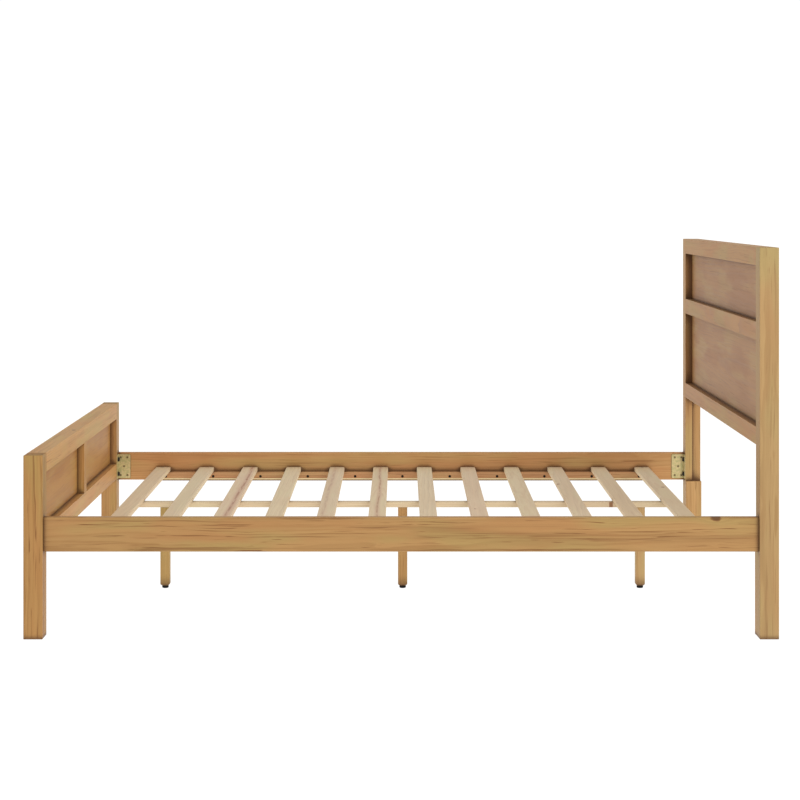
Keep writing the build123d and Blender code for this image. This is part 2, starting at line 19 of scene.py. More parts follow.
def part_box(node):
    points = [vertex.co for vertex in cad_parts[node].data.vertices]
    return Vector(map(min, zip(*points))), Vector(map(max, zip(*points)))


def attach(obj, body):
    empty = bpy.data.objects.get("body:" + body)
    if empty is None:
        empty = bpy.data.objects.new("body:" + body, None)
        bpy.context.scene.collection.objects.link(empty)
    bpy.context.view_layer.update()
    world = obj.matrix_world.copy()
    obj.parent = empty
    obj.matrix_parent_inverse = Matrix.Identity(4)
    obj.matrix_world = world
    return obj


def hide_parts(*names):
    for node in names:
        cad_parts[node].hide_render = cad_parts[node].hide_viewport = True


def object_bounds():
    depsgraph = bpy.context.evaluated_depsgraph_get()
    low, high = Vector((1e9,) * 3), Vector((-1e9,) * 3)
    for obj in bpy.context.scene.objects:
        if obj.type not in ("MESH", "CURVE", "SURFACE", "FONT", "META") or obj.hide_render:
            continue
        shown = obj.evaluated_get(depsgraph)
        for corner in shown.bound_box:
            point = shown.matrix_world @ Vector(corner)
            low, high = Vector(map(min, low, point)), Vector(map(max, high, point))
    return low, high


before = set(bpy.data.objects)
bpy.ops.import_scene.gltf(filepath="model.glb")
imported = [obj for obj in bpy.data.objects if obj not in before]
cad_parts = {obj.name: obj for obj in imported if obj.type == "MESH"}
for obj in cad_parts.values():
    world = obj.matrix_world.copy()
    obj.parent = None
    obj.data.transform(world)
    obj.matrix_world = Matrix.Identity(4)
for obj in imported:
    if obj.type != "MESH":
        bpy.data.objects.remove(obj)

CAD_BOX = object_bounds()
MM = 0.001  # one millimetre
SMOOTH_BELOW = math.radians(35.0)  # faces that meet at less than this are shaded as one
MERGE_WITHIN = 0.001 * MM  # the sweep's own distance would swallow small shafts
LEGS = ("foot", "middle", "head")
log = logging.getLogger("bed_frame")

Colour = tuple[float, float, float]
Rates = tuple[float, float, float]
Span = tuple[float, float]
Socket = bpy.types.NodeSocket
Material = bpy.types.Material


# ---- Shader maths
class Field:
    """A number that varies over a surface: one socket, with the usual operators."""

    def __init__(self, shader: "Shader", socket: Socket) -> None:
        """Wrap an output socket of a shader."""
        self.shader = shader
        self.socket = socket

    def __add__(self, other: "Number") -> "Field":
        """Sum."""
        return self.shader.maths("ADD", self, other)

    __radd__ = __add__

    def __sub__(self, other: "Number") -> "Field":
        """Difference."""
        return self.shader.maths("SUBTRACT", self, other)

    def __rsub__(self, other: "Number") -> "Field":
        """Difference, with this field taken from the other number."""
        return self.shader.maths("SUBTRACT", other, self)

    def __mul__(self, other: "Number") -> "Field":
        """Product."""
        return self.shader.maths("MULTIPLY", self, other)

    __rmul__ = __mul__

    def __truediv__(self, other: "Number") -> "Field":
        """Quotient."""
        return self.shader.maths("DIVIDE", self, other)

    def __rtruediv__(self, other: "Number") -> "Field":
        """Quotient, with the other number divided by this field."""
        return self.shader.maths("DIVIDE", other, self)

    def __neg__(self) -> "Field":
        """Negative."""
        return self.shader.maths("MULTIPLY", self, -1.0)

    def __abs__(self) -> "Field":
        """Absolute value."""
        return self.shader.maths("ABSOLUTE", self)

    def least(self, other: "Number") -> "Field":
        """The smaller of the two."""
        return self.shader.maths("MINIMUM", self, other)

    def greatest(self, other: "Number") -> "Field":
        """The larger of the two."""
        return self.shader.maths("MAXIMUM", self, other)

    def root(self) -> "Field":
        """Square root."""
        return self.shader.maths("SQRT", self)

    def exponential(self) -> "Field":
        """The number e to the power of this field."""
        return self.shader.maths("EXPONENT", self)

    def fraction(self) -> "Field":
        """The part after the decimal point."""
        return self.shader.maths("FRACT", self)

    def whole(self) -> "Field":
        """The whole number below."""
        return self.shader.maths("FLOOR", self)

    def rise(self, low: float, high: float) -> "Field":
        """A smooth step from 0 at low to 1 at high."""
        values = {"Value": self, "From Min": low, "From Max": high}
        made = self.shader.node("ShaderNodeMapRange", {"interpolation_type": "SMOOTHSTEP"}, values)
        return Field(self.shader, made.outputs["Result"])

    def peak(self, low: float, top: Span, high: float) -> "Field":
        """A smooth rise from low to the top's start and a smooth fall from the top's end to high."""
        return self.rise(low, top[0]) * (1.0 - self.rise(top[1], high))


Number = Field | float


class Shader:
    """One material and the nodes in it."""

    def __init__(self, name: str) -> None:
        """Start an empty material."""
        self.material = bpy.data.materials.new(name)
        self.material.use_nodes = True
        self.material.node_tree.nodes.clear()

    def node(
        self,
        kind: str,
        settings: Mapping[str, object] | None = None,
        values: Mapping[str | int, object] | None = None,
    ) -> bpy.types.Node:
        """Add any node.

        Args:
            kind: The node's type.
            settings: The node's own settings, which are set first.
            values: What its sockets get, by name or number: a field, a socket or a plain value.

        Returns:
            The node.
        """
        made = self.material.node_tree.nodes.new(kind)
        for name, setting in (settings or {}).items():
            setattr(made, name, setting)
        for name, value in (values or {}).items():
            self.feed(self.find(made, name), value)
        return made

    def find(self, node: bpy.types.Node, name: str | int) -> Socket:
        """The input socket in use with that name or number."""
        if isinstance(name, int):
            return node.inputs[name]
        return next(socket for socket in node.inputs if socket.enabled and socket.name == name)

    def feed(self, socket: Socket, value: object) -> None:
        """Link a field or socket to an input, or set the input to a plain value.

        Args:
            socket: The input socket.
            value: What it gets.
        """
        if isinstance(value, Field):
            value = value.socket
        if isinstance(value, Socket):
            self.material.node_tree.links.new(value, socket)
        elif socket.type == "RGBA":
            socket.default_value = (*value, 1.0)
        else:
            socket.default_value = value

    def maths(self, operation: str, *values: Number) -> Field:
        """One Math node on numbers and fields, in order."""
        made = self.node("ShaderNodeMath", {"operation": operation}, dict(enumerate(values)))
        return Field(self, made.outputs["Value"])

    def vectors(self, operation: str, values: Mapping[str | int, object]) -> bpy.types.Node:
        """One Vector Math node."""
        return self.node("ShaderNodeVectorMath", {"operation": operation}, values)

    def stretch(self, place: Socket, factors: Sequence[float]) -> Socket:
        """A place multiplied by one factor along each axis."""
        return self.vectors("MULTIPLY", {0: place, 1: tuple(factors)}).outputs["Vector"]

    def shift(self, place: Socket, step: object) -> Socket:
        """A place moved by a step, which may vary."""
        return self.vectors("ADD", {0: place, 1: step}).outputs["Vector"]

    def parts(self, place: Socket) -> tuple[Field, Field, Field]:
        """The three numbers of a place."""
        made = self.node("ShaderNodeSeparateXYZ", values={"Vector": place})
        return tuple(Field(self, output) for output in made.outputs)

    def join(self, x: Number, y: Number, z: Number) -> Socket:
        """A place made from three numbers."""
        return self.node("ShaderNodeCombineXYZ", values={"X": x, "Y": y, "Z": z}).outputs["Vector"]

    def noise_node(self, place: Socket, detail: float, roughness: float) -> bpy.types.Node:
        """One Noise Texture node whose grains are about one unit across."""
        values = {"Vector": place, "Scale": 1.0, "Detail": detail, "Roughness": roughness}
        return self.node("ShaderNodeTexNoise", values=values)

    def noise(self, place: Socket, detail: float = 2.0, roughness: float = 0.5) -> Field:
        """Smooth noise about 0.5, with finer layers: how many, and how strong each is."""
        return Field(self, self.noise_node(place, detail, roughness).outputs["Fac"])

    def chance(self, number: Field) -> Field:
        """A random number from 0 to 1 for each value of a number."""
        made = self.node("ShaderNodeTexWhiteNoise", {"noise_dimensions": "1D"}, {"W": number})
        return Field(self, made.outputs["Value"])

    def mix(self, share: Number, first: object, second: object) -> Socket:
        """A colour between two colours or sockets: the first at share 0, the second at 1."""
        values = {"Factor": share, "A": first, "B": second}
        made = self.node("ShaderNodeMix", {"data_type": "RGBA", "clamp_factor": True}, values)
        return next(output for output in made.outputs if output.enabled)

    def dim(self, colour: Socket, amount: Number) -> Socket:
        """A colour made darker or lighter by a factor."""
        return self.vectors("SCALE", {0: colour, "Scale": amount}).outputs["Vector"]

    def relief(self, height: Field, depth: float, strength: float) -> Socket:
        """The normal of a surface whose relief is depth metres where the height is 1."""
        values = {"Height": height, "Distance": depth, "Strength": strength}
        return self.node("ShaderNodeBump", values=values).outputs["Normal"]

    def finish(self, values: Mapping[str, object]) -> Material:
        """Add the surface shader and the output.

        Args:
            values: What the surface shader's sockets get.

        Returns:
            The finished material.
        """
        surface = self.node("ShaderNodeBsdfPrincipled", values=values)
        self.node("ShaderNodeOutputMaterial", values={"Surface": surface.outputs["BSDF"]})
        return self.material


# ---- Boards
class Cut(Enum):
    """How a board was sawn: where the log's heart lies, across and behind the wide face."""

    PLAIN = (0.004, -0.055)  # behind the middle of the wide face, so the grain arches along it
    RIFT = (0.050, -0.060)  # off one corner, so the lines lean
    QUARTER = (0.110, -0.010)  # beyond one edge, so the lines run straight


@dataclass(frozen=True)
class Knot:
    """A round knot through the thickness of a board."""

    along: float  # from -1 to 1, from one end of the board to the other
    across: float  # from -1 to 1, from one edge to the other
    radius: float


@dataclass(frozen=True)
class HeartStripe:
    """A reddish stripe of heartwood along a board."""

    across: float  # from -1 to 1, from one edge to the other
    width: float
    strength: float


@dataclass(frozen=True)
class Streak:
    """One width of the darker streaks along the grain."""

    length: float
    width: float
    starts: float  # the level of the noise where a streak begins to show
    full: float  # the level where it is darkest
    depth: float  # its share of the timber's streak depth


STREAKS = (
    Streak(1.10, 26.0 * MM, 0.50, 0.78, 0.40),
    Streak(0.55, 8.0 * MM, 0.56, 0.72, 0.60),
    Streak(0.32, 3.2 * MM, 0.61, 0.70, 1.00),
)


@dataclass(frozen=True)
class Pace:
    """How fine each part of the figure is: waves to the metre along, across and through."""

    fibre: Rates = (26.0, 1100.0, 1100.0)
    sway: Rates = (1.1, 5.0, 5.0)
    ripple: Rates = (7.0, 45.0, 45.0)
    growth: Rates = (3.0, 30.0, 30.0)
    blush: Rates = (2.4, 13.0, 13.0)
    straw: Rates = (3.1, 16.0, 16.0)
    latewood: Rates = (2.2, 40.0, 1.0)
    knot: Rates = (110.0, 110.0, 110.0)
    stripe: Rates = (2.5, 6.0, 6.0)
    stripe_line: Rates = (14.0, 160.0, 160.0)
    wear: Rates = (14.0, 90.0, 90.0)


PACE = Pace()


@dataclass
class Board:
    """One piece of timber, with its own place in the log."""

    node: str
    cut: Cut
    knots: tuple[Knot, ...] = ()
    stripe: HeartStripe | None = None
    tint: Colour = (1.0, 1.0, 1.0)
    painted_highlight_line: Span | None = None  # the heights of its painted highlight line above the lower edge
    streaks: float = 1.0
    middle: Vector = field(init=False)
    half: Vector = field(init=False)
    turn: Matrix = field(init=False)

    def __post_init__(self) -> None:
        """Find the middle, the half sizes and the axes: along the grain, across and through."""
        low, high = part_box(self.node)
        size = high - low
        order = sorted(range(3), key=lambda axis: -size[axis])
        rows = [[1.0 if column == axis else 0.0 for column in range(3)] for axis in order]
        self.turn = Matrix(rows)
        if self.turn.determinant() < 0:
            self.turn = Matrix((rows[0], rows[1], [-value for value in rows[2]]))
        self.middle = (low + high) / 2
        self.half = Vector([size[axis] / 2 for axis in order])


@dataclass(frozen=True)
class Timber:
    """A kind of wood with its stain and lacquer."""

    name: str
    early: Colour  # the wide, pale part of each ring
    late: Colour  # the narrow, dense part
    blush: Colour  # the warmer tone that drifts along the grain
    straw: Colour  # the yellower tone that drifts along the grain
    dark: Colour  # dense streaks and the rims of knots
    knot: Colour
    ring: float  # the width of one ring
    ring_depth: float
    streak_depth: float
    fibre_depth: float
    roughness: float
    pool: float  # how strongly corners and recesses are darkened with painted shade
    gloss: float = 0.22  # how much the surface mirrors
    wear: float = 0.0  # how far the stain is rubbed back along the edges
    corner: float = 20.0 * MM  # how near another face has to be for the painted shade
    painted_shade_colour: Colour = (0.110, 0.048, 0.018)  # the dark brown of the painted shade in corners, also used for the painted shadow line under a ledger
    # the pale colour of the painted highlight line along a ledger's foot
    painted_highlight_colour: Colour = (0.780, 0.640, 0.360)
    heart: Colour = (0.560, 0.370, 0.240)
    sway: float = 0.035  # how far the fibres wander across the board
    ripple: float = 0.007
    end_depth: float = 0.12  # how much darker the end grain is
    ring_tone: float = 0.07  # how far one ring differs from the next
    relief: float = 0.25 * MM  # how deep the fibres are
    relief_strength: float = 0.22


class BoardShader(Shader):
    """The material of one board: its figure, its stain and its wear."""

    def __init__(self, timber: Timber, board: Board) -> None:
        """Start the material and lay the board's axes in it.

        Args:
            timber: The wood and its stain.
            board: The board, whose place in the log sets its figure.
        """
        super().__init__(f"{timber.name}_{board.node}")
        self.timber = timber
        self.board = board
        self.luck = random.Random(board.node)
        self.coordinates = self.node("ShaderNodeTexCoord")
        values = {
            "Vector": self.coordinates.outputs["Object"],
            "Rotation": board.turn.to_euler(),
            "Location": -(board.turn @ board.middle),
        }
        self.place = self.node("ShaderNodeMapping", {"vector_type": "POINT"}, values).outputs["Vector"]
        self.seed = Vector([self.luck.uniform(-40.0, 40.0) for _ in range(3)])

    def own(self, place: Socket, rates: Rates, turn: float = 1.0) -> Socket:
        """A place counted in waves, in this board's own corner of the noise."""
        return self.shift(self.stretch(place, rates), self.seed * turn)

    def waves(self, rates: Rates, detail: float = 2.0, roughness: float = 0.5) -> Field:
        """Smooth noise about 0.5, with its own rate along each of the board's axes."""
        return self.noise(self.own(self.place, rates), detail, roughness)

    def wander(self, rates: Rates, detail: float, turn: float) -> Socket:
        """A smooth random step about zero, different on each axis."""
        made = self.noise_node(self.own(self.place, rates, turn), detail, 0.5)
        return self.vectors("SUBTRACT", {0: made.outputs["Color"], 1: (0.5,) * 3}).outputs["Vector"]

    def dress(self) -> Material:
        """Draw the rings, the streaks and the knots, then the end grain, the wear and the painted shade
        in corners.

        Returns:
            The material.
        """
        timber, board = self.timber, self.board
        knots = [(knot, self.knot_distance(knot)) for knot in board.knots]
        bent = self.bend()
        radius = self.growth(bent)
        rings = radius / timber.ring + sum((self.swirl(*pair) for pair in knots), 0.0)
        figure = self.shift(self.join(self.parts(self.place)[0], radius, 0.0), self.seed)
        late = self.latewood(rings, figure)
        fibre = self.waves(PACE.fibre, roughness=0.6)

        colour = self.mix(late * timber.ring_depth, timber.early, timber.late)
        colour = self.add_drift(colour)
        colour = self.add_streaks(colour, bent)
        if board.stripe:
            colour = self.add_stripe(colour, board.stripe)
        for knot, distance in knots:
            colour = self.add_knot(colour, knot, distance)
        ring_tone = (self.chance(rings.whole()) - 0.5) * timber.ring_tone
        light = 1.0 + ring_tone + (fibre - 0.5) * timber.fibre_depth
        ends = self.end_grain()
        light = light * (1.0 - ends * timber.end_depth)
        colour = self.stretch(self.dim(colour, light), board.tint)
        # A ledger gets a painted highlight line along its foot, with a painted shadow line under it.
        if board.painted_highlight_line:
            colour = self.add_painted_ledger_lines(colour, board.painted_highlight_line)
        rubbed = tuple(own * tint for own, tint in zip(timber.early, board.tint))
        colour = self.mix(self.worn_edges() * timber.wear, colour, rubbed)
        # Painted shade: faces near other pieces, in corners and recesses, are darkened towards dark
        # brown.
        colour = self.mix(self.painted_corner_shade() * timber.pool, colour, timber.painted_shade_colour)
        height = fibre * 0.6 + late * 0.4
        surface = {
            "Base Color": colour,
            "Roughness": timber.roughness + (fibre - 0.5) * 0.14 - late * 0.05 + ends * 0.2,
            "Normal": self.relief(height, timber.relief, timber.relief_strength),
            "Specular IOR Level": timber.gloss,
        }
        return self.finish(surface)

    def add_painted_ledger_lines(self, colour: Socket, line: Span) -> Socket:
        """Paint a pale line along a ledger's foot, a painted highlight, with a painted shadow line
        under it.

        Args:
            colour: The colour so far.
            line: The line's heights above the lower edge.

        Returns:
            The colour with the two lines.
        """
        height = self.parts(self.place)[1] + self.board.half.y
        soft = 0.5 * MM
        bottom, top = line
        # The pale band is a painted highlight and the dark band below it a painted shadow.
        painted_highlight = height.peak(bottom - soft, line, top + soft)
        under = 1.0 - height.rise(bottom - soft, bottom)
        colour = self.mix(painted_highlight * 0.9, colour, self.timber.painted_highlight_colour)
        return self.mix(under * 0.85, colour, self.timber.painted_shade_colour)

    def bend(self) -> Socket:
        """The place in the board with the slow wander of its fibres taken out."""
        sway, ripple = self.timber.sway, self.timber.ripple
        coarse = self.wander(PACE.sway, 1.5, 1.0)
        fine = self.wander(PACE.ripple, 1.0, -1.0)
        bent = self.shift(self.place, self.stretch(coarse, (0.0, sway, sway)))
        return self.shift(bent, self.stretch(fine, (0.0, ripple, ripple)))

    def growth(self, bent: Socket) -> Field:
        """The distance from the heart of the log, which drifts away along the board.

        Args:
            bent: The place with the wander of the fibres taken out.

        Returns:
            The distance in metres.
        """
        luck = self.luck
        heart_across, heart_behind = self.board.cut.value
        side = luck.choice((-1.0, 1.0))
        across = side * heart_across * luck.uniform(0.7, 1.3)
        behind = heart_behind * luck.uniform(0.8, 1.25)
        along, y, z = self.parts(bent)
        uneven = self.waves(PACE.growth, 1.0) - 0.5
        reach = ((y - across) * (y - across) + (z - behind) * (z - behind)).root()
        return reach + uneven * (3.0 * MM) + along * (side * luck.uniform(0.008, 0.020))

    def latewood(self, rings: Field, figure: Socket) -> Field:
        """The dense line at the end of each ring: 1 in the densest wood, 0 in the palest."""
        faded = self.noise(self.stretch(figure, PACE.latewood)).rise(0.30, 0.66)
        return rings.fraction().peak(0.35, (0.90, 0.93), 1.0) * (0.25 + faded * 0.75)

    def add_drift(self, colour: Socket) -> Socket:
        """Let the tone drift along the board, warmer here and yellower there."""
        warm = self.noise(self.own(self.place, PACE.blush, -1.0))
        yellow = self.waves(PACE.straw)
        colour = self.mix(warm.rise(0.44, 0.66) * 0.75, colour, self.timber.blush)
        return self.mix(yellow.rise(0.46, 0.68) * 0.75, colour, self.timber.straw)

    def add_streaks(self, colour: Socket, bent: Socket) -> Socket:
        """Draw the darker streaks along the grain, in three widths.

        Args:
            colour: The colour so far.
            bent: The place with the wander of the fibres taken out.

        Returns:
            The colour with the streaks.
        """
        for number, streak in enumerate(STREAKS, 1):
            rates = (1.0 / streak.length, 1.0 / streak.width, 1.0 / streak.width)
            noise = self.noise(self.own(bent, rates, float(number)), 2.0, 0.55)
            depth = streak.depth * self.timber.streak_depth * self.board.streaks
            colour = self.mix(noise.rise(streak.starts, streak.full) * depth, colour, self.timber.dark)
        return colour

    def add_stripe(self, colour: Socket, stripe: HeartStripe) -> Socket:
        """Paint a stripe of heartwood: a wide blush with a narrow dark line in it.

        Args:
            colour: The colour so far.
            stripe: The stripe.

        Returns:
            The colour with the stripe.
        """
        _, across, _ = self.parts(self.place)
        wander = self.waves(PACE.stripe, 3.0, 0.55) - 0.5
        ragged = self.waves(PACE.stripe_line, 3.0, 0.6)
        off = abs(across - stripe.across * self.board.half.y + wander * 0.018)
        halo = (1.0 - off.rise(stripe.width * 0.3, stripe.width * 1.6)) * stripe.strength
        line = (1.0 - off.rise(0.0, stripe.width * 0.6)) * ragged.rise(0.36, 0.56) * stripe.strength
        colour = self.mix(halo * 0.7, colour, self.timber.heart)
        return self.mix(line * 0.8, colour, self.timber.dark)

    def knot_distance(self, knot: Knot) -> Field:
        """The distance from a knot's middle, longer along the grain and a little uneven."""
        along, across, _ = self.parts(self.place)
        x = (along - knot.along * self.board.half.x) * 0.62
        y = across - knot.across * self.board.half.y
        uneven = self.waves(PACE.knot, 1.0)
        return (x * x + y * y).root() + (uneven - 0.5) * (knot.radius * 0.55)

    def swirl(self, knot: Knot, distance: Field) -> Field:
        """How many rings the grain is pushed aside round a knot."""
        share = distance / (knot.radius * 2.4)
        return (-(share * share)).exponential() * 2.6

    def add_knot(self, colour: Socket, knot: Knot, distance: Field) -> Socket:
        """Paint a knot: its core, its own fine rings and its dark rim.

        Args:
            colour: The colour so far.
            knot: The knot.
            distance: The distance from its middle.

        Returns:
            The colour with the knot.
        """
        radius = knot.radius
        core = 1.0 - distance.rise(radius * 0.82, radius * 1.04)
        lines = (distance / (1.3 * MM)).fraction().rise(0.4, 1.0)
        rim = distance.peak(radius * 0.7, (radius * 0.95, radius), radius * 1.35)
        colour = self.mix(core * 0.9, colour, self.timber.knot)
        colour = self.mix(core * lines * 0.45, colour, self.timber.dark)
        return self.mix(rim * 0.8, colour, self.timber.dark)

    def painted_corner_shade(self) -> Field:
        """Painted shade: 1 deep in a corner or recess between pieces, and 0 in the open."""
        values = {"Distance": self.timber.corner}
        made = self.node("ShaderNodeAmbientOcclusion", {"samples": 12}, values)
        return (1.0 - Field(self, made.outputs["AO"])).rise(0.06, 0.46)

    def end_grain(self) -> Field:
        """1 on the faces that cut across the grain, which is the first of the board's axes."""
        values = {0: self.coordinates.outputs["Normal"], 1: tuple(self.board.turn[0])}
        facing = Field(self, self.vectors("DOT_PRODUCT", values).outputs["Value"])
        return abs(facing).rise(0.75, 0.95)

    def worn_edges(self) -> Field:
        """1 along the edges of the board, in patches, where two of its faces are near."""
        inwards = self.vectors("ABSOLUTE", {0: self.place}).outputs["Vector"]
        depth = self.vectors("SUBTRACT", {0: tuple(self.board.half), 1: inwards}).outputs["Vector"]
        a, b, c = self.parts(depth)
        second = a.least(b).greatest(a.greatest(b).least(c))
        patches = self.waves(PACE.wear, roughness=0.6)
        return (1.0 - second.rise(0.6 * MM, 3.4 * MM)) * patches.rise(0.30, 0.62)


STAINED = Timber(
    name="stained_pine",
    early=(0.478, 0.267, 0.103),
    late=(0.350, 0.170, 0.055),
    blush=(0.460, 0.230, 0.087),
    straw=(0.440, 0.290, 0.105),
    dark=(0.215, 0.090, 0.028),
    knot=(0.110, 0.042, 0.014),
    ring=6.5 * MM,
    ring_depth=0.55,
    streak_depth=0.72,
    fibre_depth=0.16,
    roughness=0.54,
    wear=0.45,
    pool=0.80,
)
STAINED_PANEL = Timber(
    name="stained_panel",
    early=(0.414, 0.221, 0.094),
    late=(0.304, 0.147, 0.057),
    blush=(0.345, 0.164, 0.068),
    straw=(0.425, 0.262, 0.108),
    dark=(0.193, 0.085, 0.029),
    knot=(0.147, 0.057, 0.020),
    ring=9.0 * MM,
    ring_depth=0.45,
    streak_depth=0.38,
    fibre_depth=0.14,
    roughness=0.52,
    pool=0.92,
    corner=11.0 * MM,
)
PALE = Timber(
    name="plain_pine",
    early=(0.684, 0.540, 0.351),
    late=(0.540, 0.360, 0.194),
    blush=(0.650, 0.495, 0.315),
    straw=(0.665, 0.545, 0.340),
    dark=(0.330, 0.150, 0.085),
    knot=(0.270, 0.122, 0.050),
    ring=5.0 * MM,
    ring_depth=0.42,
    streak_depth=0.16,
    fibre_depth=0.12,
    roughness=0.62,
    gloss=0.24,
    wear=0.15,
    pool=0.30,
    end_depth=0.18,
)
# The same stain, with the painted shade in corners reaching wider: under the beam, and in the recesses
# of the headboard.
SHADED = replace(STAINED, name="shaded_pine", corner=60.0 * MM)
FRAMING = replace(STAINED, name="framing_pine", corner=45.0 * MM, pool=0.92)
BEECH = Timber(
    name="plain_beech",
    early=(0.700, 0.500, 0.320),
    late=(0.600, 0.400, 0.240),
    blush=(0.660, 0.430, 0.270),
    straw=(0.700, 0.520, 0.320),
    dark=(0.420, 0.240, 0.130),
    knot=(0.300, 0.150, 0.080),
    ring=2.4 * MM,
    ring_depth=0.40,
    streak_depth=0.20,
    fibre_depth=0.22,
    roughness=0.66,
    gloss=0.30,
    pool=0.10,
)


# ---- Metal and plastic
@dataclass(frozen=True)
class Metal:
    """A plated, blackened or turned metal, or a moulded plastic, with its own mottling."""

    name: str
    main: Colour
    cloud: Colour  # the tint that clouds the surface
    spot: Colour  # small spots and rubbed places
    metallic: float
    roughness: float
    spot_size: float
    cloud_size: float = 4.0 * MM
    spot_share: float = 0.30  # how much of the surface the spots take, from 0 to 1
    relief: float = 0.06 * MM  # depth of the surface's fine pitting
    gloss: float = 0.5

    def dress(self) -> Material:
        """Make the material that all pieces of this finish share.

        Returns:
            The material.
        """
        shader = Shader(self.name)
        place = shader.node("ShaderNodeTexCoord").outputs["Object"]
        clouds, spots, pits = (
            shader.noise(shader.stretch(place, (1.0 / size,) * 3), detail, roughness)
            for size, detail, roughness in (
                (self.cloud_size, 3.0, 0.6),
                (self.spot_size, 2.0, 0.5),
                (MM, 3.0, 0.6),
            )
        )
        colour = shader.mix(clouds.rise(0.38, 0.64), self.main, self.cloud)
        threshold = 0.78 - 0.40 * self.spot_share
        spotted = spots.rise(threshold, threshold + 0.08)
        colour = shader.mix(spotted * 0.6, colour, self.spot)
        colour = shader.dim(colour, 0.94 + pits * 0.12)
        surface = {
            "Base Color": colour,
            "Metallic": self.metallic,
            "Roughness": self.roughness + (clouds - 0.5) * 0.22 + spotted * 0.08,
            "Normal": shader.relief(pits * 0.5 + clouds * 0.5, self.relief, 0.35),
            "Specular IOR Level": self.gloss,
        }
        return shader.finish(surface)


YELLOW_ZINC = Metal(
    name="yellow_zinc_steel",
    main=(0.620, 0.500, 0.240),
    cloud=(0.470, 0.420, 0.185),
    spot=(0.700, 0.520, 0.300),
    metallic=0.55,
    roughness=0.46,
    cloud_size=9.0 * MM,
    spot_size=5.0 * MM,
    spot_share=0.55,
    relief=0.10 * MM,
)
DULL_ZINC = Metal(
    name="dull_zinc_steel",
    main=(0.240, 0.180, 0.080),
    cloud=(0.180, 0.130, 0.060),
    spot=(0.320, 0.250, 0.130),
    metallic=0.70,
    roughness=0.44,
    spot_size=2.0 * MM,
)
BRIGHT_ZINC = Metal(
    name="zinc_steel",
    main=(0.620, 0.640, 0.660),
    cloud=(0.500, 0.520, 0.560),
    spot=(0.700, 0.700, 0.680),
    metallic=0.95,
    roughness=0.36,
    cloud_size=6.0 * MM,
    spot_size=3.0 * MM,
    spot_share=0.40,
    relief=0.05 * MM,
)
BLACK_STEEL = Metal(
    name="black_steel",
    main=(0.024, 0.020, 0.015),
    cloud=(0.038, 0.031, 0.022),
    spot=(0.080, 0.066, 0.048),
    metallic=0.10,
    roughness=0.52,
    cloud_size=5.0 * MM,
    spot_size=2.4 * MM,
    spot_share=0.22,
    gloss=0.16,
)
BRASS = Metal(
    name="brass",
    main=(0.640, 0.460, 0.170),
    cloud=(0.560, 0.380, 0.130),
    spot=(0.400, 0.260, 0.100),
    metallic=1.0,
    roughness=0.32,
    spot_size=1.6 * MM,
    relief=0.04 * MM,
)
BLACK_PLASTIC = Metal(
    name="black_plastic",
    main=(0.009, 0.009, 0.009),
    cloud=(0.013, 0.013, 0.013),
    spot=(0.028, 0.027, 0.025),
    metallic=0.0,
    roughness=0.55,
    cloud_size=6.0 * MM,
    spot_size=1.2 * MM,
    spot_share=0.35,
    relief=0.08 * MM,
    gloss=0.14,
)


# ---- Dressing the carried-over pieces
def put_on(node: str, material: Material) -> None:
    """Give one carried-over piece its material.

    Args:
        node: The piece's name.
        material: The material.
    """
    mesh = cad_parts[node].data
    mesh.materials.clear()
    mesh.materials.append(material)
    log.info("%s is finished in %s", node, material.name)


def dress_boards(timber: Timber, boards: Sequence[Board]) -> None:
    """Give each board its own figure in one timber."""
    for board in boards:
        put_on(board.node, BoardShader(timber, board).dress())


@dataclass
class Headboard:
    """Two posts with their leg blocks, three rails and two panels."""

    timber: Timber = STAINED
    framing_timber: Timber = FRAMING
    panel_timber: Timber = STAINED_PANEL
    knot_radius: float = 7.0 * MM

    def dress(self) -> None:
        """Finish the boards of the headboard."""
        left_post = Board("headboard_post_left", Cut.QUARTER, tint=(1.05, 1.08, 1.10))
        right_post = Board("headboard_post_right", Cut.QUARTER, tint=(0.905, 1.02, 1.10), streaks=0.7)
        blocks = [
            Board("headboard_leg_block_left", Cut.RIFT, tint=(1.08, 1.12, 1.14)),
            Board("headboard_leg_block_right", Cut.RIFT, tint=(1.00, 1.02, 1.00)),
        ]
        rails = [
            Board("headboard_top_rail", Cut.RIFT, tint=(0.99, 0.98, 1.00), streaks=0.5),
            Board("headboard_middle_rail", Cut.QUARTER, tint=(0.97, 0.93, 0.96), streaks=0.4),
            Board(
                "headboard_bottom_rail",
                Cut.RIFT,
                (Knot(0.93, 0.1, self.knot_radius),),
                tint=(1.0, 0.97, 1.0),
                streaks=0.5,
            ),
        ]
        panels = [
            Board("headboard_upper_panel", Cut.PLAIN, tint=(0.99, 0.96, 0.91)),
            Board("headboard_lower_panel", Cut.PLAIN, tint=(1.02, 0.99, 0.93)),
        ]
        dress_boards(self.timber, [right_post, *blocks])
        # The far post and the rails carry the wider painted shade of the headboard's recesses.
        dress_boards(self.framing_timber, [left_post, *rails])
        dress_boards(self.panel_timber, panels)


